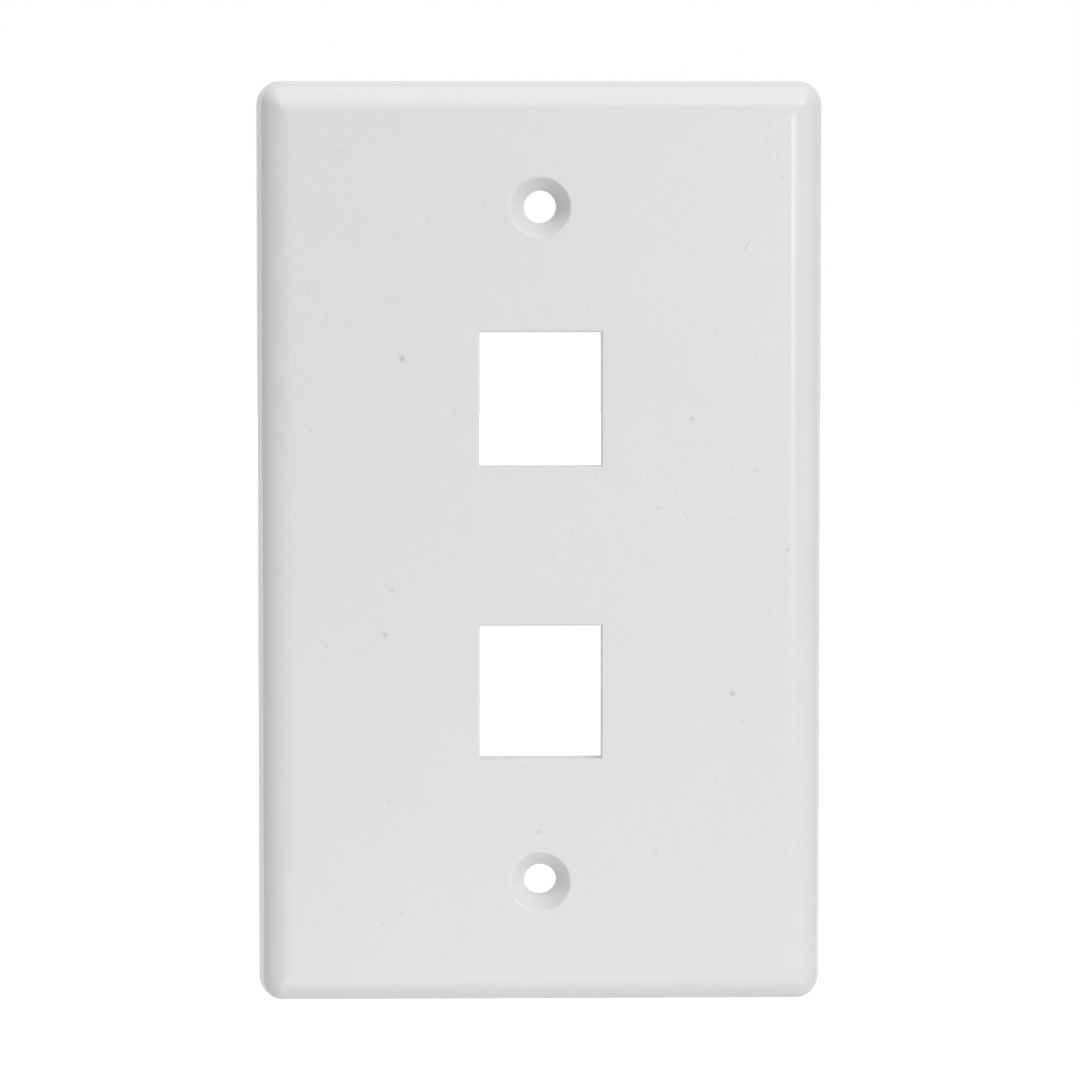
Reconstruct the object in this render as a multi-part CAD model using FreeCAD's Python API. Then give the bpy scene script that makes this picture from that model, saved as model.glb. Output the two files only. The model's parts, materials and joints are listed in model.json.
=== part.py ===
"""Two-port keystone faceplate for a single-gang wall box: one moulded plastic plate.

Millimetres, +Z up. The front looks along -Y, and the origin is the plate's centre on the wall
plane, where the rear face of the rim seats. "Depth" is measured backwards from the flat front.

The plate is a hollow tray: a thin front wall with a rolled border, and a rim that meets the
wall. Behind the front stand two collars that hold keystone jacks, two bosses for the box
screws, and ribs that tie them to each other and to the rim.
"""

import FreeCAD
import Part
import math
import os

from FreeCAD import Vector

# ---- driving dimensions ---------------------------------------------------------------------

# The plate: a standard single-gang outline of 2.75 x 4.5 inches.
PLATE_WIDTH = 69.85
PLATE_HEIGHT = 114.3
PLATE_DEPTH = 6.35
PLATE_CORNER_RADIUS = 3.0
FRONT_WALL = 2.0
RIM_WALL = 2.0
HOLLOW_CORNER_RADIUS = 2.0
HOLLOW_EDGE_RADIUS = 1.5
HOLLOW_DRAFT = 3.0

# The rolled border, from the flat front out to the rim. A tilt is the angle from the front.
BORDER_WIDTH = 4.0
BORDER_BLEND_RADIUS = 2.0
BORDER_INNER_TILT = 12.0
BORDER_OUTER_TILT = 56.0
BORDER_EDGE_RADIUS = 0.5
RIM_DRAFT = 9.0

# The two screws that hold the plate to the box, with oval heads.
SCREW_SPACING = 83.34
SCREW_HOLE_DIAMETER = 4.0
COUNTERSINK_DIAMETER = 7.4
COUNTERSINK_ANGLE = 82.0
COUNTERSINK_LIP_RADIUS = 0.35
BOSS_DIAMETER = 9.6
BOSS_SETBACK = 1.4

# The keystone ports. The front of a jack fills the opening; its fixed hook drops into the
# groove below, and its sprung latch rises into the pocket above. The walls draft towards the
# rear, and behind the catches the way in is 19.5 tall.
PORT_PITCH = 36.2
PORT_WIDTH = 15.0
PORT_HEIGHT = 16.5
PORT_EDGE_RADIUS = 0.3
PORT_DRAFT = 1.5
COLLAR_DEPTH = 10.0
COLLAR_WALL = 1.5
COLLAR_CORNER_RADIUS = 0.8
HOOK_GROOVE_DEPTH = 5.0
HOOK_GROOVE_HEIGHT = 2.0
HOOK_OVERHANG = 1.0
LATCH_POCKET_DEPTH = 4.0
LATCH_POCKET_HEIGHT = 4.0
LATCH_OVERHANG = 2.0
CATCH_THICKNESS = 2.0
CATCH_LEAD_IN = 0.8

# The ribs, which stop short of the wall plane. Ribs and bosses thin towards their free ends.
RIB_THICKNESS = 1.4
RIB_SETBACK = 2.0
RIB_DRAFT = 1.5

# How far a piece runs into its neighbour before the two are fused, how far a cutting tool runs
# past the surface that it opens, and how near two places are that count as one.
BURY = 0.5
CLEAR = 1.0
TOUCH = 0.001

# ---- derived places -------------------------------------------------------------------------

PORT_CENTRES = (PORT_PITCH / 2, -PORT_PITCH / 2)
SCREW_CENTRES = (SCREW_SPACING / 2, -SCREW_SPACING / 2)
COLLAR_HALF_WIDTH = PORT_WIDTH / 2 + COLLAR_WALL
COLLAR_TOP = PORT_HEIGHT / 2 + LATCH_POCKET_HEIGHT + COLLAR_WALL
COLLAR_BOTTOM = -(PORT_HEIGHT / 2 + HOOK_GROOVE_HEIGHT + COLLAR_WALL)
RAIL_X = COLLAR_HALF_WIDTH - RIB_THICKNESS / 2


def y_at(depth):
    """The row's y of a depth behind the flat front."""
    return depth - PLATE_DEPTH


def box(x, depth, z):
    """A block from (low, high) pairs: across, behind the front, and up."""
    size = [high - low for low, high in (x, depth, z)]
    return Part.makeBox(*size, Vector(x[0], y_at(depth[0]), z[0]))


def prism(points, direction):
    """A closed outline of points, extruded along a direction."""
    outline = Part.makePolygon(points + points[:1])
    return Part.Face(outline).extrude(direction)


# ---- the border and the blank ---------------------------------------------------------------


def outward(tilt):
    """The unit normal of the border where it tilts by so many degrees: (outwards, depth)."""
    return math.sin(math.radians(tilt)), -math.cos(math.radians(tilt))


def rolled_arc(start, radius, tilt_from, tilt_to):
    """The middle and the end of an arc that starts at (outwards, depth) and rolls backwards."""
    normal = outward(tilt_from)
    centre = (start[0] - radius * normal[0], start[1] - radius * normal[1])
    found = []
    for tilt in ((tilt_from + tilt_to) / 2, tilt_to):
        normal = outward(tilt)
        found.append((centre[0] + radius * normal[0], centre[1] + radius * normal[1]))
    return found


def border_curve(place):
    """The border's edges, from the flat front to the rim. place(inset, depth) gives a point.

    Three tangent arcs roll the front over, and a drafted line runs down the rim. The middle
    arc takes the radius that makes the whole border BORDER_WIDTH wide.
    """
    side_tilt = 90 - RIM_DRAFT
    draft = math.tan(math.radians(RIM_DRAFT))
    blend_out, blend_back = outward(BORDER_INNER_TILT)
    edge_out, edge_back = outward(BORDER_OUTER_TILT)
    side_out, side_back = outward(side_tilt)
    # Both the run and the depth of the middle arc are its radius times these.
    run_share, drop_share = edge_out - blend_out, edge_back - blend_back
    blend_run = BORDER_BLEND_RADIUS * blend_out
    blend_drop = BORDER_BLEND_RADIUS * (1 + blend_back)
    edge_run = BORDER_EDGE_RADIUS * (side_out - edge_out)
    edge_drop = BORDER_EDGE_RADIUS * (side_back - edge_back)
    side_drop = PLATE_DEPTH - blend_drop - edge_drop
    roll_radius = BORDER_WIDTH - blend_run - edge_run - side_drop * draft
    roll_radius /= run_share - drop_share * draft

    start = (0.0, 0.0)
    edges = []
    for radius, tilt_from, tilt_to in (
        (BORDER_BLEND_RADIUS, 0.0, BORDER_INNER_TILT),
        (roll_radius, BORDER_INNER_TILT, BORDER_OUTER_TILT),
        (BORDER_EDGE_RADIUS, BORDER_OUTER_TILT, side_tilt),
    ):
        middle, end = rolled_arc(start, radius, tilt_from, tilt_to)
        points = [place(BORDER_WIDTH - out, depth) for out, depth in (start, middle, end)]
        edges.append(Part.Arc(*points).toShape())
        start = end
    foot = place(0.0, PLATE_DEPTH)
    edges.append(Part.makeLine(place(BORDER_WIDTH - start[0], start[1]), foot))
    return edges


def half_section(half_span, place):
    """Half of the blank's section, from its middle out, as a face. place(across, depth) gives
    a point."""
    border = border_curve(lambda inset, depth: place(half_span - inset, depth))
    inner = [
        border[0].Vertexes[0].Point,
        place(0.0, 0.0),
        place(0.0, PLATE_DEPTH),
        place(half_span, PLATE_DEPTH),
    ]
    return Part.Face(Part.Wire(Part.__sortEdges__([*border, *Part.makePolygon(inner).Edges])))


def blank_quarter():
    """The upper right quarter of the solid blank.

    The side's section and the top's are extruded, and where they cross they mitre the border.
    The part beyond the corner's centre is the side's section turned through a right angle.
    """
    half_width, half_height = PLATE_WIDTH / 2, PLATE_HEIGHT / 2
    corner_x = half_width - PLATE_CORNER_RADIUS
    corner_z = half_height - PLATE_CORNER_RADIUS
    through = (-CLEAR, PLATE_DEPTH + CLEAR)
    beyond_x = box((corner_x, half_width + CLEAR), through, (0, half_height))
    beyond_z = box((0, half_width), through, (corner_z, half_height + CLEAR))

    side_face = half_section(half_width, lambda out, depth: Vector(out, y_at(depth), 0))
    top_face = half_section(half_height, lambda out, depth: Vector(0, y_at(depth), out))
    side = side_face.extrude(Vector(0, 0, corner_z))
    top = top_face.extrude(Vector(corner_x, 0, 0))
    corner_face = side_face.common(beyond_x)
    corner_face.translate(Vector(0, 0, corner_z))
    corner = corner_face.revolve(Vector(corner_x, 0, corner_z), Vector(0, -1, 0), 90)
    return side.common(top).fuse([side.common(beyond_x), top.common(beyond_z), corner])


def blank():
    """The solid blank: its quarter, mirrored across and then down."""
    quarter = blank_quarter()
    half = quarter.fuse(quarter.mirror(Vector(0, 0, 0), Vector(1, 0, 0)))
    return half.fuse(half.mirror(Vector(0, 0, 0), Vector(0, 0, 1))).removeSplitter()


def hollow():
    """The space behind the front wall, inside the rim: a block that widens backwards."""
    spread = math.tan(math.radians(HOLLOW_DRAFT))
    narrowing = (PLATE_DEPTH - FRONT_WALL) * spread
    widening = CLEAR * spread
    mouth_x, mouth_z = PLATE_WIDTH / 2 - RIM_WALL, PLATE_HEIGHT / 2 - RIM_WALL
    floor_x, floor_z = mouth_x - narrowing, mouth_z - narrowing
    end_x, end_z = mouth_x + widening, mouth_z + widening
    floor_y, end_y = y_at(FRONT_WALL), y_at(PLATE_DEPTH + CLEAR)
    space = Part.makeWedge(
        -floor_x, floor_y, -floor_z, -end_z, -end_x, floor_x, end_y, floor_z, end_z, end_x
    )
    corners = [e for e in space.Edges if e.BoundBox.YLength > TOUCH]
    space = space.makeFillet(HOLLOW_CORNER_RADIUS, corners)
    floor = [e for e in space.Edges if abs(e.BoundBox.YMax - floor_y) < TOUCH]
    return space.makeFillet(HOLLOW_EDGE_RADIUS, floor)


# ---- what stands behind the front -----------------------------------------------------------


def collar(z):
    """The walls round one port, as a solid block with rounded corners."""
    block = box(
        (-COLLAR_HALF_WIDTH, COLLAR_HALF_WIDTH),
        (FRONT_WALL - BURY, COLLAR_DEPTH),
        (z + COLLAR_BOTTOM, z + COLLAR_TOP),
    )
    corners = [e for e in block.Edges if e.BoundBox.YLength > TOUCH]
    return block.makeFillet(COLLAR_CORNER_RADIUS, corners)


def port_void(z):
    """The way through one port: opening, hook groove, latch pocket and lead-ins."""
    spread = math.tan(math.radians(PORT_DRAFT))
    sill, header = -PORT_HEIGHT / 2, PORT_HEIGHT / 2
    groove_floor = sill - HOOK_GROOVE_HEIGHT
    pocket_roof = header + LATCH_POCKET_HEIGHT
    latch_catch = pocket_roof - LATCH_OVERHANG
    hook_catch = groove_floor + HOOK_OVERHANG
    catch_front = COLLAR_DEPTH - CATCH_THICKNESS
    lead_start = COLLAR_DEPTH - CATCH_LEAD_IN
    rear = COLLAR_DEPTH + CLEAR
    outline = [
        (-CLEAR, sill),
        (0, sill),
        (HOOK_GROOVE_DEPTH, sill - spread * HOOK_GROOVE_DEPTH),
        (HOOK_GROOVE_DEPTH, groove_floor),
        (catch_front, groove_floor),
        (catch_front, hook_catch),
        (lead_start, hook_catch),
        (COLLAR_DEPTH, hook_catch - CATCH_LEAD_IN),
        (rear, hook_catch - CATCH_LEAD_IN),
        (rear, latch_catch + CATCH_LEAD_IN),
        (COLLAR_DEPTH, latch_catch + CATCH_LEAD_IN),
        (lead_start, latch_catch),
        (catch_front, latch_catch),
        (catch_front, pocket_roof),
        (LATCH_POCKET_DEPTH, pocket_roof),
        (LATCH_POCKET_DEPTH, header + spread * LATCH_POCKET_DEPTH),
        (0, header),
        (-CLEAR, header),
    ]
    half = PORT_WIDTH / 2
    points = [Vector(-PORT_WIDTH, y_at(depth), z + up) for depth, up in outline]
    section = prism(points, Vector(2 * PORT_WIDTH, 0, 0))
    side = [(-CLEAR, half), (0, half), (rear, half + spread * rear)]
    across = side + [(depth, -x) for depth, x in reversed(side)]
    points = [Vector(x, y_at(depth), z + groove_floor - CLEAR) for depth, x in across]
    sides = prism(points, Vector(0, 0, pocket_roof - groove_floor + 2 * CLEAR))
    return section.common(sides)


def boss(z):
    """A drafted post round one screw hole."""
    length = PLATE_DEPTH - BOSS_SETBACK - FRONT_WALL + BURY
    tip = BOSS_DIAMETER / 2
    root = tip + length * math.tan(math.radians(RIB_DRAFT))
    return Part.makeCone(root, tip, length, Vector(0, y_at(FRONT_WALL - BURY), z), Vector(0, 1, 0))


def screw_hole(z):
    """The tool for one screw: the hole, the countersink and the lip's soft edge."""
    hole = SCREW_HOLE_DIAMETER / 2
    mouth = COUNTERSINK_DIAMETER / 2
    half_angle = math.radians(COUNTERSINK_ANGLE / 2)
    cone_depth = (mouth - hole) / math.tan(half_angle)
    # The lip rolls from the flat front into the cone about a centre behind the front.
    roll = math.pi / 2 - half_angle
    tangent = COUNTERSINK_LIP_RADIUS * math.tan(roll / 2)
    lip_x = mouth + tangent
    lip_end = (mouth - tangent * math.sin(half_angle), tangent * math.cos(half_angle))
    lip_middle = (
        lip_x - COUNTERSINK_LIP_RADIUS * math.sin(roll / 2),
        COUNTERSINK_LIP_RADIUS * (1 - math.cos(roll / 2)),
    )

    def place(radius, depth):
        return Vector(radius, y_at(depth), z)

    lip = Part.Arc(place(lip_x, 0), place(*lip_middle), place(*lip_end)).toShape()
    rest = Part.makePolygon(
        [
            place(*lip_end),
            place(hole, cone_depth),
            place(hole, PLATE_DEPTH + CLEAR),
            place(0, PLATE_DEPTH + CLEAR),
            place(0, -CLEAR),
            place(lip_x, -CLEAR),
            place(lip_x, 0),
        ]
    )
    section = Part.Face(Part.Wire(Part.__sortEdges__([lip, *rest.Edges])))
    return section.revolve(Vector(0, 0, z), Vector(0, 1, 0), 360)


def rib_section():
    """A rib's outline as (across, depth): it thins towards its free edge."""
    root = RIB_THICKNESS / 2
    free_edge = PLATE_DEPTH - RIB_SETBACK
    tip = root - (free_edge - FRONT_WALL) * math.tan(math.radians(RIB_DRAFT))
    return [
        (-root, FRONT_WALL - BURY),
        (root, FRONT_WALL - BURY),
        (root, FRONT_WALL),
        (tip, free_edge),
        (-tip, free_edge),
        (-root, FRONT_WALL),
    ]


def upright_rib(x, low, high):
    """A rib up the back of the plate, from one height to another."""
    points = [Vector(x + across, y_at(depth), low) for across, depth in rib_section()]
    return prism(points, Vector(0, 0, high - low))


def cross_rib(z, left, right):
    """A rib across the back of the plate, from one side to another."""
    points = [Vector(left, y_at(depth), z + across) for across, depth in rib_section()]
    return prism(points, Vector(right - left, 0, 0))


def ribs():
    """Rails from rim to rim beside the ports, arms from the rails to the rim level with each
    port, and a web from each boss to its collar and to the rim."""
    rim_x, rim_z = PLATE_WIDTH / 2, PLATE_HEIGHT / 2
    found = []
    for side in (1, -1):
        found.append(upright_rib(side * RAIL_X, -rim_z, rim_z))
        for z in PORT_CENTRES:
            found.append(cross_rib(z, *sorted((side * RAIL_X, side * rim_x))))
    found.append(upright_rib(0, PORT_CENTRES[0] + COLLAR_TOP - COLLAR_WALL / 2, rim_z))
    found.append(upright_rib(0, -rim_z, PORT_CENTRES[1] + COLLAR_BOTTOM + COLLAR_WALL / 2))
    return found


def faceplate():
    """The whole moulding."""
    body = blank()
    tray = body.cut(hollow())
    standing = [collar(z) for z in PORT_CENTRES] + [boss(z) for z in SCREW_CENTRES]
    standing += [rib.common(body) for rib in ribs()]
    whole = tray.fuse(standing).cut([port_void(z) for z in PORT_CENTRES]).removeSplitter()
    front_edges = [e for e in whole.Edges if abs(e.BoundBox.YMax - y_at(0)) < TOUCH]
    port_edges = [e for e in front_edges if abs(e.CenterOfMass.x) < PORT_WIDTH / 2 + TOUCH]
    port_edges = [e for e in port_edges if e.Length < PORT_HEIGHT + TOUCH]
    whole = whole.makeFillet(PORT_EDGE_RADIUS, port_edges)
    return whole.cut([screw_hole(z) for z in SCREW_CENTRES])


moulding = faceplate()
solids = moulding.Solids
print(f"faceplate: {len(solids)} solid, valid {moulding.isValid()}, "
      f"{moulding.Volume / 1000:.2f} cm3, {len(moulding.Faces)} faces")
os.makedirs("parts", exist_ok=True)
solids[0].exportStep("parts/faceplate.step")
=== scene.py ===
# %% [markdown]
# # A keystone faceplate, modelled and lit in Blender
#
# A keystone faceplate is the plastic plate that closes a wall box and holds network jacks. It is
# one moulding: a thin front with a rolled border, and a rim behind it that seats on the wall.
# This lesson models that moulding by hand, gives it the satin finish of moulded plastic, and
# lights it softly in front of white.
#
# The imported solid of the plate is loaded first. It fixes the size and the place of everything.

# %% Load the fixed frame
import json
import math

import bmesh
import bpy
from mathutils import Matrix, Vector


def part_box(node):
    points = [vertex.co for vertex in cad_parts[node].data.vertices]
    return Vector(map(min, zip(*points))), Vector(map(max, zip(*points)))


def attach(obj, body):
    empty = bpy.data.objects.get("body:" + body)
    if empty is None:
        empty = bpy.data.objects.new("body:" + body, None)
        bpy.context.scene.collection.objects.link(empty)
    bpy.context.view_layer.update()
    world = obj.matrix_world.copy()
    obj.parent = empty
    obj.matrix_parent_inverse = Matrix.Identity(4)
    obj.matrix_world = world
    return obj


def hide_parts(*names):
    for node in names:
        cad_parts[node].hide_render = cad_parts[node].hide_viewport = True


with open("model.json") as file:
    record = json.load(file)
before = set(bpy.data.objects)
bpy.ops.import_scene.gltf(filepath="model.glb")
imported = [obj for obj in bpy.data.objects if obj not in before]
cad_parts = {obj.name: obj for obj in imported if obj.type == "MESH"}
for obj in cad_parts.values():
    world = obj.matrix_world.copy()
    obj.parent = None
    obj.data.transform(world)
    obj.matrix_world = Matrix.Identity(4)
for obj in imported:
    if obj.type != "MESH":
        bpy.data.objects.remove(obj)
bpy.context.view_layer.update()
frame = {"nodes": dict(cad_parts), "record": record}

for name in ("Cube", "Light", "Camera"):
    if name in bpy.data.objects:
        bpy.data.objects.remove(bpy.data.objects[name])
print("nodes:", sorted(frame["nodes"]))

# %% [markdown]
# ## Sizes
#
# Blender works in metres here, and a plate like this is drawn in millimetres, so one factor
# turns the one into the other. The outside sizes come from the solid and from its record, and
# the wall thicknesses and the shape of the jack's seat are named once, here.

# %% Outside sizes, from the solid
MM = 0.001

low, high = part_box("faceplate")
mounts = {mount["name"]: mount for mount in frame["record"]["mounts"]}

HALF_WIDTH = (high.x - low.x) / 2
HALF_HEIGHT = (high.z - low.z) / 2
FRONT_Y = low.y
WALL_Y = mounts["wall_rim"]["pos_m"][1]
DEPTH = WALL_Y - FRONT_Y
COLLAR_DEPTH = high.y - FRONT_Y
SCREW_Z = mounts["screw_holes"]["dims"]["spacing_y_mm"] * MM / 2
SCREW_RADIUS = mounts["screw_holes"]["dims"]["hole_r_mm"] * MM
PORT_Z = mounts["keystone_port_upper"]["pos_m"][2]

print(f"plate {2 * HALF_WIDTH / MM:.2f} x {2 * HALF_HEIGHT / MM:.2f} x {DEPTH / MM:.2f} mm")

# %% Walls, border, ports and ribs
CORNER_RADIUS = 3.0 * MM
FRONT_WALL = 2.0 * MM
RIM_WALL = 2.0 * MM
HOLLOW_DRAFT = math.radians(3)
HOLLOW_CORNER = 2.0 * MM
HOLLOW_EDGE = 1.5 * MM

BORDER_WIDTH = 4.3 * MM
BLEND_RADIUS = 4.5 * MM
EDGE_RADIUS = 0.5 * MM
INNER_TILT = math.radians(12)
OUTER_TILT = math.radians(56)
RIM_TILT = math.radians(90 - 9)

COUNTERSINK_RADIUS = 3.7 * MM
COUNTERSINK_HALF_ANGLE = math.radians(41)
LIP_RADIUS = 0.35 * MM

PORT_WIDTH = 15.0 * MM
PORT_HEIGHT = 16.5 * MM
PORT_EDGE = 0.3 * MM
COLLAR_WALL = 1.5 * MM
COLLAR_CORNER = 0.8 * MM
PORT_DRAFT = math.tan(math.radians(1.5))
GROOVE_DEPTH = 5.0 * MM
GROOVE_HEIGHT = 2.0 * MM
HOOK_OVERHANG = 1.0 * MM
POCKET_DEPTH = 4.0 * MM
POCKET_HEIGHT = 4.0 * MM
LATCH_OVERHANG = 2.0 * MM
CATCH_THICKNESS = 2.0 * MM
LEAD_IN = 0.8 * MM

BOSS_RADIUS = 4.8 * MM
BOSS_DEPTH = DEPTH - 1.4 * MM
RIB_THICKNESS = 1.4 * MM
RIB_DEPTH = DEPTH - 2.0 * MM
RIB_DRAFT = math.radians(1.5)

SOFTENING = 0.12 * MM
CLEAR = 1.0 * MM
BURY = 0.2 * MM

# %% [markdown]
# ## A few hand tools
#
# Modelling by hand is a round of three moves: pick some faces or edges, act on them, look. The
# helpers below are the picking. They choose by place, so that each step reads like the sentence
# that a modeller would say: take the front cap, and push it in.

# %% Helpers for picking and for edit mode
def only(piece):
    """Selects one object and makes it the active one."""
    bpy.ops.object.select_all(action="DESELECT")
    piece.select_set(True)
    bpy.context.view_layer.objects.active = piece


def begin(piece):
    """Opens a piece in edit mode, with nothing selected."""
    only(piece)
    bpy.ops.object.mode_set(mode="EDIT")
    bpy.ops.mesh.select_all(action="DESELECT")


def end():
    """Turns every face outward and leaves edit mode."""
    bpy.ops.mesh.select_all(action="SELECT")
    bpy.ops.mesh.normals_make_consistent(inside=False)
    bpy.ops.object.mode_set(mode="OBJECT")


def pick(piece, kind, test):
    """In edit mode, selects the FACE, EDGE or VERT items whose points all pass a test."""
    bpy.ops.mesh.select_mode(type=kind)
    bpy.ops.mesh.select_all(action="DESELECT")
    mesh = bmesh.from_edit_mesh(piece.data)
    if kind == "VERT":
        chosen = [vertex for vertex in mesh.verts if test(vertex.co)]
    else:
        items = mesh.faces if kind == "FACE" else mesh.edges
        chosen = [item for item in items if all(test(v.co) for v in item.verts)]
    for item in chosen:
        item.select_set(True)
    bmesh.update_edit_mesh(piece.data)
    return len(chosen)


def near(a, b):
    """True where two lengths are the same to a hundredth of a millimetre."""
    return abs(a - b) < 0.01 * MM


def move(x=0.0, y=0.0, z=0.0):
    bpy.ops.transform.translate(value=(x, y, z))


def grow(x=1.0, y=1.0, z=1.0, about=(0.0, 0.0, 0.0)):
    bpy.ops.transform.resize(value=(x, y, z), center_override=about)


def block(name, x, y, z):
    """A cube primitive sized and placed by (low, high) pairs, with its place in its mesh."""
    sizes = [pair[1] - pair[0] for pair in (x, y, z)]
    middle = [(pair[1] + pair[0]) / 2 for pair in (x, y, z)]
    bpy.ops.mesh.primitive_cube_add(size=1, location=middle)
    piece = bpy.context.object
    piece.name = name
    piece.scale = sizes
    only(piece)
    bpy.ops.object.transform_apply(location=True, rotation=True, scale=True)
    return piece


def back(depth):
    """The y of a depth behind the flat front."""
    return FRONT_Y + depth


# %% [markdown]
# ## The blank
#
# The outside of the plate is a rounded rectangle that rolls over into a flat front. A bevel
# modifier on a box can't do it: the border is wider than the corner's radius, so the bevel would
# fold over itself. Done by hand it is simple. One plane gets round corners, and is then inset
# and lifted, ring after ring, along the section of the border. Each inset shrinks the corners,
# and where their radius runs out they are merged to a point. From there the border is mitred,
# as it is on the real plate.

# %% The border's section, from the rim to the flat front
def arc_steps(radius, tilt_from, tilt_to, count):
    """Moves (outwards, backwards) along an arc whose surface tilts from one angle to another."""
    tilts = [tilt_from + (tilt_to - tilt_from) * i / count for i in range(count + 1)]
    return [
        (radius * (math.sin(b) - math.sin(a)), radius * (math.cos(a) - math.cos(b)))
        for a, b in zip(tilts, tilts[1:])
    ]


draft = 1 / math.tan(RIM_TILT)
blend = arc_steps(BLEND_RADIUS, 0, INNER_TILT, 6)
edge = arc_steps(EDGE_RADIUS, OUTER_TILT, RIM_TILT, 3)
fixed_run = sum(step[0] for step in blend + edge)
fixed_drop = sum(step[1] for step in blend + edge)
unit_run = math.sin(OUTER_TILT) - math.sin(INNER_TILT)
unit_drop = math.cos(INNER_TILT) - math.cos(OUTER_TILT)
roll_radius = (BORDER_WIDTH - fixed_run - (DEPTH - fixed_drop) * draft) / (
    unit_run - unit_drop * draft
)

# The ring where the round corners run out and become mitres.
MITRE_OUT = BORDER_WIDTH - CORNER_RADIUS + 0.03 * MM
mitre_run = MITRE_OUT - sum(step[0] for step in blend)
mitre_tilt = math.asin(math.sin(INNER_TILT) + mitre_run / roll_radius)
roll = arc_steps(roll_radius, INNER_TILT, mitre_tilt, 3)
roll += arc_steps(roll_radius, mitre_tilt, OUTER_TILT, 11)

border = [(0.0, 0.0)]
for run, drop in blend + roll + edge:
    border.append((border[-1][0] + run, border[-1][1] + drop))
print(f"roll radius {roll_radius / MM:.2f} mm, rim starts {border[-1][1] / MM:.2f} mm back")

# %% Round the corners of a plane, then inset and lift it along the section
bpy.ops.mesh.primitive_plane_add(size=2, location=(0, WALL_Y, 0), rotation=(math.pi / 2, 0, 0))
plate = bpy.context.object
plate.name = "moulded_plate"
plate.scale = (HALF_WIDTH, HALF_HEIGHT, 1)
only(plate)
bpy.ops.object.transform_apply(location=True, rotation=True, scale=True)

begin(plate)
bpy.ops.mesh.select_all(action="SELECT")
bpy.ops.mesh.bevel(offset=CORNER_RADIUS, segments=10, affect="VERTICES")
ring_inset, ring_depth = 0.0, DEPTH
for out, depth in reversed(border):
    inset = BORDER_WIDTH - out
    bpy.ops.mesh.inset(thickness=inset - ring_inset, depth=0, use_even_offset=True)
    move(y=depth - ring_depth)
    ring_inset, ring_depth = inset, depth
    if not near(out, MITRE_OUT):
        continue
    for side_x in (-1, 1):
        for side_z in (-1, 1):
            pick(
                plate,
                "VERT",
                lambda co: near(co.y, back(ring_depth)) and co.x * side_x > 0 < co.z * side_z,
            )
            bpy.ops.mesh.merge(type="CENTER")
    pick(plate, "FACE", lambda co: near(co.y, back(ring_depth)))
    corner = max((v.co for v in bmesh.from_edit_mesh(plate.data).verts if v.select), key=sum)
    grow(x=(HALF_WIDTH - inset) / corner.x, z=(HALF_HEIGHT - inset) / corner.z)

# Close the back, which makes a solid blank.
pick(plate, "EDGE", lambda co: near(co.y, WALL_Y))
bpy.ops.mesh.edge_face_add()
end()
print("blank:", len(plate.data.vertices), "vertices,", len(plate.data.polygons), "faces")

# %% [markdown]
# ## The hollow
#
# Moulded plates are hollow, because an even wall cools evenly and stays flat. The space behind
# the front is a block with round corners and a rounded floor, and it widens a little backwards,
# so that the steel core can be pulled out. It is modelled as its own block, and then cut from
# the blank with a boolean modifier.

# %% The core that leaves the hollow
narrowing = (DEPTH - FRONT_WALL) * math.tan(HOLLOW_DRAFT)
mouth_x, mouth_z = HALF_WIDTH - RIM_WALL, HALF_HEIGHT - RIM_WALL
core = block(
    "core", (-mouth_x, mouth_x), (back(FRONT_WALL), WALL_Y), (-mouth_z, mouth_z)
)
begin(core)
pick(core, "FACE", lambda co: near(co.y, back(FRONT_WALL)))
grow(x=1 - narrowing / mouth_x, z=1 - narrowing / mouth_z)
pick(core, "FACE", lambda co: near(co.y, WALL_Y))
bpy.ops.mesh.extrude_region_move()
move(y=CLEAR)


def along_y(edge):
    a, b = (vertex.co for vertex in edge.verts)
    return abs(a.y - b.y) > abs(a.x - b.x) + abs(a.z - b.z)


def pick_edges(piece, test):
    """In edit mode, selects the edges that pass a test on the edge itself."""
    bpy.ops.mesh.select_mode(type="EDGE")
    bpy.ops.mesh.select_all(action="DESELECT")
    mesh = bmesh.from_edit_mesh(piece.data)
    for item in mesh.edges:
        item.select_set(test(item))
    bmesh.update_edit_mesh(piece.data)


pick_edges(core, along_y)
bpy.ops.mesh.bevel(offset=HOLLOW_CORNER, segments=8, affect="EDGES")
pick(core, "EDGE", lambda co: near(co.y, back(FRONT_WALL)))
bpy.ops.mesh.bevel(offset=HOLLOW_EDGE, segments=6, affect="EDGES")
end()
print("core:", len(core.data.vertices), "vertices")


# %% Cutting and joining with boolean modifiers
def combine(piece, tool, operation):
    """Cuts the tool from the piece, or joins it on, and removes the tool."""
    only(piece)
    modifier = piece.modifiers.new(operation.lower(), "BOOLEAN")
    modifier.operation = operation
    modifier.solver = "EXACT"
    modifier.object = tool
    bpy.ops.object.modifier_apply(modifier=modifier.name)
    mesh = tool.data
    bpy.data.objects.remove(tool)
    bpy.data.meshes.remove(mesh)


combine(plate, core, "DIFFERENCE")
print("tray:", len(plate.data.vertices), "vertices")

# %% [markdown]
# ## Collars, bosses and ribs
#
# Everything behind the front is a thin wall standing on it. Two collars take the jacks, two
# posts take the screws, and ribs run from wall to wall to keep the plate flat. Each is a cube or
# a cylinder whose free edges are softened before it is joined on, because after the boolean the
# edges of all of them meet, and a bevel there would run into its neighbours.

# %% One collar, with its free edges softened
collar_half = PORT_WIDTH / 2 + COLLAR_WALL
collar_top = PORT_HEIGHT / 2 + POCKET_HEIGHT + COLLAR_WALL
collar_bottom = -(PORT_HEIGHT / 2 + GROOVE_HEIGHT + COLLAR_WALL)
SOFT_EDGE = 0.2 * MM


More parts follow.
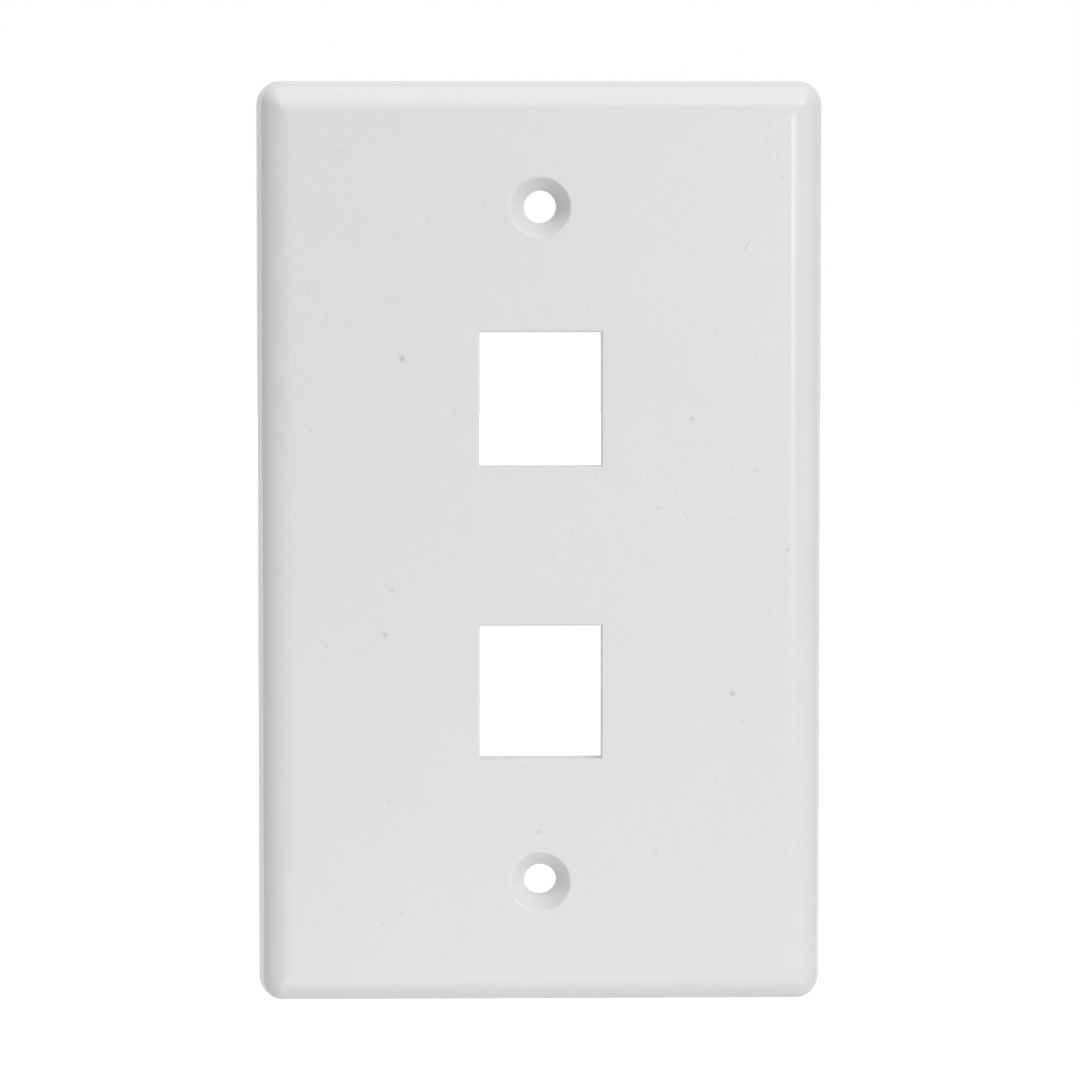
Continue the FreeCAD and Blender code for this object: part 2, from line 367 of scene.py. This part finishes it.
def collar(z):
    piece = block(
        "collar",
        (-collar_half, collar_half),
        (back(FRONT_WALL - BURY), back(COLLAR_DEPTH)),
        (z + collar_bottom, z + collar_top),
    )
    begin(piece)
    pick_edges(piece, along_y)
    bpy.ops.mesh.bevel(offset=COLLAR_CORNER, segments=5, affect="EDGES")
    pick(piece, "EDGE", lambda co: near(co.y, back(COLLAR_DEPTH)))
    bpy.ops.mesh.bevel(offset=SOFT_EDGE, segments=3, affect="EDGES")
    end()
    return piece


def boss(z):
    length = BOSS_DEPTH - FRONT_WALL + BURY
    root = BOSS_RADIUS + length * math.tan(RIB_DRAFT)
    bpy.ops.mesh.primitive_cone_add(
        vertices=72, radius1=root, radius2=BOSS_RADIUS, depth=length,
        location=(0, back(BOSS_DEPTH) - length / 2, z), rotation=(-math.pi / 2, 0, 0),
    )
    piece = bpy.context.object
    only(piece)
    bpy.ops.object.transform_apply(location=True, rotation=True, scale=True)
    begin(piece)
    pick(piece, "EDGE", lambda co: near(co.y, back(BOSS_DEPTH)))
    bpy.ops.mesh.bevel(offset=SOFT_EDGE, segments=3, affect="EDGES")
    end()
    return piece


def rib(x, z):
    """A rib between (low, high) pairs, one of which is its middle line given twice."""
    half = RIB_THICKNESS / 2
    upright = x[0] == x[1]
    x = (x[0] - half, x[1] + half) if upright else x
    z = z if upright else (z[0] - half, z[1] + half)
    piece = block("rib", x, (back(FRONT_WALL - BURY), back(RIB_DEPTH)), z)
    thinning = 1 - 2 * (RIB_DEPTH - FRONT_WALL) * math.tan(RIB_DRAFT) / RIB_THICKNESS
    middle = ((x[0] + x[1]) / 2, 0, (z[0] + z[1]) / 2)
    begin(piece)
    pick(piece, "FACE", lambda co: near(co.y, back(RIB_DEPTH)))
    grow(x=thinning if upright else 1, z=1 if upright else thinning, about=middle)
    bpy.ops.mesh.bevel(offset=SOFT_EDGE, segments=3, affect="EDGES")
    end()
    return piece


for z in (PORT_Z, -PORT_Z):
    combine(plate, collar(z), "UNION")
for z in (SCREW_Z, -SCREW_Z):
    combine(plate, boss(z), "UNION")
print("with collars and bosses:", len(plate.data.vertices), "vertices")

# %% Rails, arms and webs
rail_x = collar_half - RIB_THICKNESS / 2
rib_end_x, rib_end_z = mouth_x + BURY, mouth_z + BURY
inside_collar = COLLAR_WALL / 2
for side in (-1, 1):
    combine(plate, rib((side * rail_x, side * rail_x), (-rib_end_z, rib_end_z)), "UNION")
    for z in (PORT_Z, -PORT_Z):
        reach = sorted((side * (collar_half - inside_collar), side * rib_end_x))
        combine(plate, rib(reach, (z, z)), "UNION")
combine(plate, rib((0, 0), (PORT_Z + collar_top - inside_collar, rib_end_z)), "UNION")
combine(plate, rib((0, 0), (-rib_end_z, -PORT_Z + collar_bottom + inside_collar)), "UNION")
print("with ribs:", len(plate.data.vertices), "vertices")

# %% [markdown]
# ## The ports
#
# A jack clips into its port from behind: a fixed hook drops into a groove under the opening,
# and a springy latch rises into a pocket over it. The space that the jack takes is modelled
# as one block, sliced where the groove and the pocket begin and end. Then the right slices are
# pushed down or up, and its mouth is flared so that the opening's front edge comes out round.

# %% The space inside one port
def port_space(z):
    half_w, half_h = PORT_WIDTH / 2, PORT_HEIGHT / 2
    rear = COLLAR_DEPTH + CLEAR
    catch = COLLAR_DEPTH - CATCH_THICKNESS
    piece = block(
        "port", (-half_w, half_w), (back(PORT_EDGE), back(rear)), (-half_h, half_h)
    )
    begin(piece)
    slices = (POCKET_DEPTH, GROOVE_DEPTH, catch, COLLAR_DEPTH - LEAD_IN, COLLAR_DEPTH)
    for depth in slices:
        bpy.ops.mesh.select_all(action="SELECT")
        bpy.ops.mesh.bisect(plane_co=(0, back(depth), 0), plane_no=(0, 1, 0))

    def push(level, start, stop, height):
        """Extrudes the slices from start to stop, on the top or the bottom, by a height."""
        pick(
            piece,
            "FACE",
            lambda co: near(co.z, level) and back(start) - MM / 10 < co.y < back(stop) + MM / 10,
        )
        bpy.ops.mesh.extrude_region_move()
        move(z=height)

    latch_catch = half_h + POCKET_HEIGHT - LATCH_OVERHANG
    hook_catch = -half_h - GROOVE_HEIGHT + HOOK_OVERHANG
    push(half_h, POCKET_DEPTH, rear, latch_catch - half_h)
    push(latch_catch, POCKET_DEPTH, catch, LATCH_OVERHANG)
    push(-half_h, GROOVE_DEPTH, rear, hook_catch + half_h)
    push(hook_catch, GROOVE_DEPTH, catch, -HOOK_OVERHANG)
    for level, widening in ((latch_catch, LEAD_IN), (hook_catch, -LEAD_IN)):
        pick(piece, "EDGE", lambda co: near(co.z, level) and co.y > back(COLLAR_DEPTH) - BURY)
        move(z=widening)

    # The draft: each slice is a little larger than the one in front of it.
    for depth in slices + (rear,):
        pick(piece, "VERT", lambda co: near(co.y, back(depth)))
        grow(x=1 + PORT_DRAFT * depth / half_w)
        pick(piece, "VERT", lambda co: near(co.y, back(depth)) and near(abs(co.z), half_h))
        if depth <= GROOVE_DEPTH:
            grow(z=1 + PORT_DRAFT * depth / half_h)

    pick(piece, "FACE", lambda co: near(co.y, back(PORT_EDGE)))
    out = 0.0
    for run, drop in reversed(arc_steps(PORT_EDGE, 0, math.pi / 2, 4)):
        bpy.ops.mesh.extrude_region_move()
        move(y=-drop)
        grow(x=(half_w + out + run) / (half_w + out), z=(half_h + out + run) / (half_h + out))
        out += run
    bpy.ops.mesh.extrude_region_move()
    move(y=-CLEAR)
    bpy.ops.mesh.select_all(action="SELECT")
    move(z=z)
    end()
    return piece


for z in (PORT_Z, -PORT_Z):
    combine(plate, port_space(z), "DIFFERENCE")
print("with ports:", len(plate.data.vertices), "vertices")

# %% [markdown]
# ## The screw holes
#
# An oval-head screw sits in a countersink, a cone of 82 degrees. On a moulded plate its lip
# isn't sharp: it rolls over into the front. The cutter is a cylinder whose front cap is
# extruded and widened ring by ring, first up the cone and then round the lip.

# %% A countersunk hole
def screw_space(z):
    roll = math.pi / 2 - COUNTERSINK_HALF_ANGLE
    tangent = LIP_RADIUS * math.tan(roll / 2)
    lip_start = COUNTERSINK_RADIUS - tangent * math.sin(COUNTERSINK_HALF_ANGLE)
    lip_depth = tangent * math.cos(COUNTERSINK_HALF_ANGLE)
    cone_depth = (COUNTERSINK_RADIUS - SCREW_RADIUS) / math.tan(COUNTERSINK_HALF_ANGLE)
    rear = DEPTH + CLEAR
    bpy.ops.mesh.primitive_cylinder_add(
        vertices=72, radius=SCREW_RADIUS, depth=rear - cone_depth,
        location=(0, back((rear + cone_depth) / 2), z), rotation=(math.pi / 2, 0, 0),
    )
    piece = bpy.context.object
    only(piece)
    bpy.ops.object.transform_apply(location=True, rotation=True, scale=True)
    begin(piece)
    pick(piece, "FACE", lambda co: near(co.y, back(cone_depth)))
    rings = [(lip_start, lip_depth)]
    for run, drop in reversed(arc_steps(LIP_RADIUS, 0, roll, 8)):
        rings.append((rings[-1][0] + run, rings[-1][1] - drop))
    rings.append((rings[-1][0], -CLEAR))
    radius, depth = SCREW_RADIUS, cone_depth
    for next_radius, next_depth in rings:
        bpy.ops.mesh.extrude_region_move()
        move(y=next_depth - depth)
        ratio = next_radius / radius
        grow(x=ratio, z=ratio, about=(0, 0, z))
        radius, depth = next_radius, next_depth
    end()
    return piece


for z in (SCREW_Z, -SCREW_Z):
    combine(plate, screw_space(z), "DIFFERENCE")
print("with screw holes:", len(plate.data.vertices), "vertices")

# %% [markdown]
# ## Marks of the mould
#
# The back of a moulding shows how it was made. Round pins push it off the core and leave shallow
# discs, and the runner that fed the plastic is snapped off and leaves a small stub. They are
# small, but they are what tells a real back from a drawn one.

# %% Ejector marks and the gate's stub
EJECTOR_RADIUS = 2.2 * MM
EJECTOR_SINK = 0.12 * MM
EJECTOR_X = 21 * MM
EJECTOR_Z = 44 * MM
ejector_places = [
    (side * EJECTOR_X, z) for side in (-1, 1) for z in (EJECTOR_Z, 0, -EJECTOR_Z)
]
for x, z in ejector_places:
    bpy.ops.mesh.primitive_cylinder_add(
        vertices=48, radius=EJECTOR_RADIUS, depth=2 * EJECTOR_SINK,
        location=(x, back(FRONT_WALL), z), rotation=(math.pi / 2, 0, 0),
    )
    pin = bpy.context.object
    only(pin)
    bpy.ops.object.transform_apply(location=True, rotation=True, scale=True)
    begin(pin)
    pick(pin, "FACE", lambda co: near(co.y, back(FRONT_WALL - EJECTOR_SINK)))
    grow(x=0.97, z=0.97, about=(x, 0, z))
    end()
    combine(plate, pin, "DIFFERENCE")

STUB_RADIUS = 0.9 * MM
STUB_HEIGHT = 0.5 * MM
STUB_ROOT = 0.3 * MM
# Midway between the bottom of the upper collar and the top of the lower one.
stub_z = ((PORT_Z + collar_bottom) + (-PORT_Z + collar_top)) / 2
bpy.ops.mesh.primitive_cylinder_add(
    vertices=32, radius=STUB_RADIUS, depth=STUB_HEIGHT + STUB_ROOT,
    location=(0, back(FRONT_WALL) + (STUB_HEIGHT - STUB_ROOT) / 2, stub_z),
    rotation=(math.pi / 2, 0, 0),
)
stub = bpy.context.object
only(stub)
bpy.ops.object.transform_apply(location=True, rotation=True, scale=True)
begin(stub)
pick(stub, "FACE", lambda co: near(co.y, back(FRONT_WALL) + STUB_HEIGHT))
grow(x=0.75, z=0.75, about=(0, 0, stub_z))
bpy.ops.mesh.inset(thickness=0.25 * MM, depth=0)
move(y=-0.15 * MM)
end()
combine(plate, stub, "UNION")
print("with mould marks:", len(plate.data.vertices), "vertices")

# %% [markdown]
# ## Soft edges and clean shading
#
# No moulded edge is a knife. The booleans leave hard edges where the walls meet, so a small
# bevel goes over every edge that turns by more than 35 degrees. The gentle mitres of the border
# stay sharp, as on the real plate: they are marked so before the rest is shaded smooth. Weighted
# normals then keep the wide flats flat.

# %% Bevel what is still hard
begin(plate)
bpy.ops.mesh.select_all(action="SELECT")
bpy.ops.mesh.remove_doubles(threshold=0.004 * MM)
bpy.ops.mesh.dissolve_limited(angle_limit=math.radians(0.05))
end()

only(plate)
soften = plate.modifiers.new("soften", "BEVEL")
soften.width = SOFTENING
soften.segments = 2
soften.limit_method = "ANGLE"
soften.angle_limit = math.radians(35)
bpy.ops.object.modifier_apply(modifier=soften.name)
print("softened:", len(plate.data.vertices), "vertices")


# %% Keep the mitres sharp, smooth the rest
def insets(vertex):
    """How far a point lies in from the side and from the top or the bottom."""
    return HALF_WIDTH - abs(vertex.co.x), HALF_HEIGHT - abs(vertex.co.z)


MITRE_START = BORDER_WIDTH - MITRE_OUT
SLACK = 0.1 * MM


def on_mitre(edge):
    """An edge of a mitre, or one that parts a straight border from the round corner's start."""
    outer, inner = sorted((insets(vertex) for vertex in edge.verts), key=sum)
    if any(vertex.co.y > back(FRONT_WALL - 2 * BURY) for vertex in edge.verts):
        return False
    if not near(*inner) or not MITRE_START - SLACK < inner[0] < BORDER_WIDTH + SLACK:
        return False
    if inner[0] > MITRE_START + SLACK:
        return near(*outer) and outer[0] > MITRE_START - SLACK
    return max(outer) > MITRE_START and min(outer) < MITRE_START - SLACK


begin(plate)
pick_edges(plate, on_mitre)
mitres = sum(edge.select for edge in bmesh.from_edit_mesh(plate.data).edges)
bpy.ops.mesh.mark_sharp()
end()
only(plate)
bpy.ops.object.shade_smooth_by_angle(angle=math.radians(40), keep_sharp_edges=True)
weighted = plate.modifiers.new("weighted", "WEIGHTED_NORMAL")
weighted.keep_sharp = True
weighted.weight = 50
bpy.ops.object.modifier_apply(modifier=weighted.name)
print(mitres, "mitre edges kept sharp")

# %% [markdown]
# ## Satin white plastic
#
# The plate is moulded in white plastic with a satin face. Up close such a face is never one
# colour: the pigment is a little uneven, the steel's fine grain is printed on it, and a few dark
# specks and pits are moulded in. The patterns are read from Object coordinates in metres, so
# their scales are in cycles per metre and they stay put when the view changes.

# %% A plain helper for shader nodes
def add(tree, kind, **settings):
    """Adds a shader node, then sets its properties and its unlinked inputs by name."""
    item = tree.nodes.new("ShaderNode" + kind)
    for name, value in settings.items():
        if hasattr(item, name):
            setattr(item, name, value)
        else:
            item.inputs[name.replace("_", " ")].default_value = value
    return item


def math_node(tree, operation, first, second):
    """A Math node; each operand is a socket or a number."""
    item = add(tree, "Math", operation=operation)
    for socket, value in zip(item.inputs, (first, second)):
        if isinstance(value, (int, float)):
            socket.default_value = value
        else:
            tree.links.new(value, socket)
    return item.outputs["Value"]


# %% Uneven pigment and sheen
plastic = bpy.data.materials.new("satin_white_plastic")
plastic.use_nodes = True
tree = plastic.node_tree
shader = tree.nodes["Principled BSDF"]
shader.inputs["IOR"].default_value = 1.5
place = add(tree, "TexCoord").outputs["Object"]


def noise(scale, detail, roughness=0.5):
    item = add(tree, "TexNoise", Scale=scale, Detail=detail, Roughness=roughness)
    tree.links.new(place, item.inputs["Vector"])
    return item.outputs["Fac"]


def spread(value, low, high, from_low=0.3, from_high=0.7):
    """Maps a texture's middle range onto the range from low to high."""
    item = add(
        tree, "MapRange", From_Min=from_low, From_Max=from_high, To_Min=low, To_Max=high
    )
    tree.links.new(value, item.inputs["Value"])
    return item.outputs["Result"]


clouds = spread(noise(70, 3), -0.006, 0.006)
mottle = spread(noise(900, 4, 0.65), -0.007, 0.007)
pigment = math_node(tree, "ADD", clouds, mottle)
sheen = math_node(
    tree, "ADD", spread(noise(45, 2), 0.3, 0.315), spread(noise(1500, 3), -0.012, 0.012)
)
tree.links.new(sheen, shader.inputs["Roughness"])

# %% Specks moulded into the face
# Each is the place across and up the face in millimetres, the radius and how dark it is. A speck
# is darkest in its middle and fades out over about twice its radius.
SPECKS = [
    (-17.0, 23.1, 0.22, 0.5),
    (-19.2, -10.9, 0.2, 0.42),
    (23.7, -18.3, 0.22, 0.45),
    (18.6, 15.7, 0.18, 0.3),
    (-18.2, -5.4, 0.17, 0.28),
    (30.4, -0.5, 0.17, 0.3),
    (-0.2, -35.4, 0.17, 0.26),
    (29.6, 45.2, 0.15, 0.22),
    (26.6, 9.4, 0.15, 0.2),
    (14.3, -38.1, 0.15, 0.2),
    (24.9, -21.8, 0.14, 0.16),
    (-18.7, -31.6, 0.16, 0.2),
    (-17.3, -45.4, 0.15, 0.2),
    (-19.5, -46.7, 0.15, 0.2),
    (-12.4, -51.3, 0.14, 0.16),
    (26.6, 29.3, 0.14, 0.14),
    (-22.2, -12.8, 0.5, 0.035),
    (11.4, -28.6, 0.5, 0.03),
    (27.7, -46.2, 0.45, 0.03),
]
dark = 0.0
for x, z, radius, strength in SPECKS:
    gap = add(tree, "VectorMath", operation="DISTANCE")
    tree.links.new(place, gap.inputs[0])
    gap.inputs[1].default_value = (x * MM, FRONT_Y, z * MM)
    full, faded = 0.2 * radius * MM, 2.3 * radius * MM
    speck = spread(gap.outputs["Value"], 0.62 * strength, 0.0, full, faded)
    dark = math_node(tree, "ADD", speck, dark)

print(len(SPECKS), "specks")

# %% Pimples and shallow pits
# Each cell of the pattern has one point and one colour of its own. What lies within a pimple's
# radius of the point rises or sinks, by as much as the colour says. A little noise on the distance
# keeps the pimples from being round, and what sinks also turns a little darker.
PIMPLE_SCALE = 560
PIMPLE_RADIUS = 0.45 * MM
PIT_DARKNESS = 0.035
pimple = add(tree, "TexVoronoi", Scale=PIMPLE_SCALE, Randomness=1.0)
tree.links.new(place, pimple.inputs["Vector"])
rise = add(
    tree,
    "MapRange",
    interpolation_type="SMOOTHSTEP",
    From_Min=0.0,
    From_Max=PIMPLE_RADIUS * PIMPLE_SCALE,
    To_Min=1.0,
    To_Max=0.0,
)
uneven = math_node(tree, "ADD", pimple.outputs["Distance"], spread(noise(2000, 2), -0.07, 0.07))
tree.links.new(uneven, rise.inputs["Value"])
own = add(tree, "SeparateColor")
tree.links.new(pimple.outputs["Color"], own.inputs["Color"])
up_or_down = spread(own.outputs["Red"], -1.0, 1.0, 0.0, 1.0)
up_or_down = math_node(tree, "MULTIPLY", up_or_down, spread(noise(80, 1), 0.3, 1.0, 0.4, 0.6))
pimples = math_node(tree, "MULTIPLY", rise.outputs["Result"], up_or_down)
sunk = math_node(tree, "MULTIPLY", math_node(tree, "MINIMUM", pimples, 0.0), -PIT_DARKNESS)
dark = math_node(tree, "ADD", dark, sunk)

# %% One short scratch, and the colour put together
SCRATCH_PLACE = (25.3 * MM, FRONT_Y, 36.9 * MM)
SCRATCH_TURN = math.radians(-57)
SCRATCH_REACH = (0.9 * MM, 1 * MM, 0.07 * MM)
turned = add(tree, "Mapping", vector_type="TEXTURE")
turned.inputs["Location"].default_value = SCRATCH_PLACE
turned.inputs["Rotation"].default_value = (0, SCRATCH_TURN, 0)
turned.inputs["Scale"].default_value = SCRATCH_REACH
tree.links.new(place, turned.inputs["Vector"])
reach = add(tree, "VectorMath", operation="LENGTH")
tree.links.new(turned.outputs["Vector"], reach.inputs[0])
scratch = spread(reach.outputs["Value"], 0.2, 0.0, 0.6, 1.2)
dark = math_node(tree, "ADD", dark, scratch)

PLASTIC_GREY = 0.735
bright = math_node(tree, "ADD", pigment, PLASTIC_GREY)
grey = math_node(tree, "MULTIPLY", bright, math_node(tree, "SUBTRACT", 1.0, dark))
colour = add(tree, "CombineColor")
for channel in ("Red", "Green", "Blue"):
    tree.links.new(grey, colour.inputs[channel])
tree.links.new(colour.outputs["Color"], shader.inputs["Base Color"])

# %% Grain, pebbling in patches, a faint waviness, and pits where the specks are
GRAIN_HEIGHT = 0.0006 * MM
PEBBLE_HEIGHT = 0.0022 * MM
WAVE_HEIGHT = 0.003 * MM
SPECK_DEPTH = 0.02 * MM
PIMPLE_HEIGHT = 0.035 * MM
grain = math_node(tree, "MULTIPLY", spread(noise(2200, 3, 0.6), -1.0, 1.0), GRAIN_HEIGHT)
patches = math_node(tree, "MULTIPLY", spread(noise(55, 1), 0.2, 1.0, 0.42, 0.58), PEBBLE_HEIGHT)
pebble = math_node(tree, "MULTIPLY", spread(noise(900, 2), -1.0, 1.0), patches)
wave = math_node(tree, "MULTIPLY", spread(noise(160, 1), -1.0, 1.0), WAVE_HEIGHT)
pits = math_node(tree, "MULTIPLY", dark, -SPECK_DEPTH)
bumps = math_node(tree, "MULTIPLY", pimples, PIMPLE_HEIGHT)
height = math_node(tree, "ADD", math_node(tree, "ADD", grain, pebble), wave)
height = math_node(tree, "ADD", height, pits)
height = math_node(tree, "ADD", height, bumps)
bump = add(tree, "Bump", Strength=1.0, Distance=1.0)
tree.links.new(height, bump.inputs["Height"])
tree.links.new(bump.outputs["Normal"], shader.inputs["Normal"])
plate.data.materials.clear()
plate.data.materials.append(plastic)
print("material nodes:", len(tree.nodes))

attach(plate, "root")
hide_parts("faceplate")

# %% [markdown]
# ## Floor and background
#
# A white object on white is an old task of the product studio. The background must be pure white
# without pouring more light on the plate, or its edges would melt into it. So the background is
# white only for what looks at it straight, by a mirror or through glass, and the light that
# falls on the plate comes from a calmer studio. The plate hangs on a wall in use, so the floor
# lies a little below it and takes a soft shadow.

# %% The floor
FLOOR_DROP = 0.06
bpy.ops.mesh.primitive_plane_add(size=8, location=(0, 0, low.z - FLOOR_DROP))
floor = bpy.context.object
floor.name = "floor"
only(floor)
bpy.ops.object.transform_apply(location=True, rotation=True, scale=True)


def looked_at(tree):
    """1 for rays that see a thing straight, in a gloss or through glass, and else 0."""
    path = add(tree, "LightPath").outputs
    total = math_node(tree, "ADD", path["Is Camera Ray"], path["Is Glossy Ray"])
    total = math_node(tree, "ADD", total, path["Is Transmission Ray"])
    return math_node(tree, "MINIMUM", total, 1.0)


paper = bpy.data.materials.new("white_floor")
paper.use_nodes = True
tree = paper.node_tree
tree.nodes.remove(tree.nodes["Principled BSDF"])
plain = add(tree, "BsdfDiffuse", Color=(0.8, 0.8, 0.8, 1))
soft = add(tree, "BsdfDiffuse", Color=(0.3, 0.3, 0.3, 1))
glow = add(tree, "Emission", Color=(1, 1, 1, 1), Strength=0.96)
seen = add(tree, "AddShader")
tree.links.new(soft.outputs[0], seen.inputs[0])
tree.links.new(glow.outputs[0], seen.inputs[1])
choose = add(tree, "MixShader")
tree.links.new(looked_at(tree), choose.inputs[0])
tree.links.new(plain.outputs[0], choose.inputs[1])
tree.links.new(seen.outputs[0], choose.inputs[2])
tree.links.new(choose.outputs[0], tree.nodes["Material Output"].inputs["Surface"])
floor.data.materials.append(paper)

# %% [markdown]
# ## Light
#
# Moulded edges show only in light that comes from one side. The key lamp stands well to the
# right and above, so the countersinks turn dark at their upper right. A second, wider lamp stands
# higher and carries the light over the top border, and one overhead lights its upper edge. A long
# low glow from the left, close to the plane of the plate, keeps the left border from going black
# without reaching into the holes. A white card lies on the table in front and brightens the foot
# of the plate. The edge light shows only in the gloss, as the bright line on the right-hand
# border. The lamp behind is for the back alone: it stands level with the plate and straight behind
# it, so the drafted rim hides the front from it.

# %% The room: a glow along the left
world = bpy.context.scene.world or bpy.data.worlds.new("studio")
bpy.context.scene.world = world
world.use_nodes = True
tree = world.node_tree
tree.nodes.clear()
GLOW_LEVEL = 1.16
GLOW_NARROWNESS = 4
direction = add(tree, "SeparateXYZ")
tree.links.new(add(tree, "TexCoord").outputs["Generated"], direction.inputs[0])
to_right, into_wall = direction.outputs["X"], direction.outputs["Y"]
to_left = math_node(tree, "MAXIMUM", math_node(tree, "MULTIPLY", to_right, -GLOW_LEVEL), 0)
in_plane = math_node(tree, "SUBTRACT", 1, math_node(tree, "MULTIPLY", into_wall, into_wall))
narrow = math_node(tree, "POWER", in_plane, GLOW_NARROWNESS)
room = add(tree, "Background", Color=(1, 1, 1, 1))
tree.links.new(math_node(tree, "MULTIPLY", to_left, narrow), room.inputs["Strength"])
white = add(tree, "Background", Color=(1, 1, 1, 1), Strength=1.0)
choose = add(tree, "MixShader")
tree.links.new(looked_at(tree), choose.inputs[0])
tree.links.new(room.outputs[0], choose.inputs[1])
tree.links.new(white.outputs[0], choose.inputs[2])
out = add(tree, "OutputWorld")
tree.links.new(choose.outputs[0], out.inputs["Surface"])


# %% The lamps
def lamp(name, azimuth, elevation, distance, size, level):
    """An area lamp aimed at the plate; level is the share of full white that it adds."""
    azimuth, elevation = math.radians(azimuth), math.radians(elevation)
    spot = Vector(
        (
            math.sin(azimuth) * math.cos(elevation),
            -math.cos(azimuth) * math.cos(elevation),
            math.sin(elevation),
        )
    )
    bpy.ops.object.light_add(type="AREA", location=spot * distance)
    item = bpy.context.object
    item.name = name
    item.rotation_euler = (-spot).to_track_quat("-Z", "Y").to_euler()
    item.data.size = size
    item.data.energy = level * (math.pi * distance) ** 2
    item.visible_camera = False
    return item


key = lamp("key", azimuth=38, elevation=25, distance=2.6, size=0.5, level=0.431)
second = lamp("second", azimuth=20, elevation=46, distance=2.6, size=1.1, level=0.235)
overhead = lamp("overhead", azimuth=0, elevation=84, distance=1.3, size=1.3, level=0.425)
edge_light = lamp("edge_light", azimuth=15, elevation=3.9, distance=1.0, size=0.14, level=0.165)
edge_light.visible_diffuse = False
behind = lamp("behind", azimuth=180, elevation=0, distance=2.6, size=1.0, level=0.42)
behind.visible_glossy = False

CARD_SIZE = 0.1
CARD_DISTANCE = 0.1
CARD_LIFT = 0.002
CARD_POWER = 0.046
bpy.ops.object.light_add(
    type="AREA",
    location=(0, -CARD_DISTANCE, low.z - FLOOR_DROP + CARD_LIFT),
    rotation=(math.pi, 0, 0),
)
card = bpy.context.object
card.name = "white_card"
card.data.size = CARD_SIZE
card.data.energy = CARD_POWER
card.visible_camera = False
for item in (key, second, overhead, edge_light, behind, card):
    print(f"{item.name} {item.data.energy:.3f} W")

# %% [markdown]
# ## Camera
#
# The camera looks almost straight at the plate, a touch from the left and from above, from well
# back with a long lens, so that the plate's sides stay almost parallel.

# %% A long lens, well back
CAMERA_DISTANCE = 0.7
FRAME_WIDTH = 0.1342
SENSOR_WIDTH = 36
azimuth, elevation = math.radians(-1.5), math.radians(4.2)
aim = Vector((0.0001, 0, 0.0003))
toward = Vector(
    (
        math.sin(azimuth) * math.cos(elevation),
        -math.cos(azimuth) * math.cos(elevation),
        math.sin(elevation),
    )
)
bpy.ops.object.camera_add(location=aim + CAMERA_DISTANCE * toward)
camera = bpy.context.object
camera.rotation_euler = (-toward).to_track_quat("-Z", "Y").to_euler()
camera.data.sensor_width = SENSOR_WIDTH
camera.data.lens = SENSOR_WIDTH * CAMERA_DISTANCE / FRAME_WIDTH
camera.data.clip_start = 0.01
bpy.context.scene.camera = camera
bpy.context.scene.view_settings.view_transform = "Standard"
print(f"lens {camera.data.lens:.0f} mm")
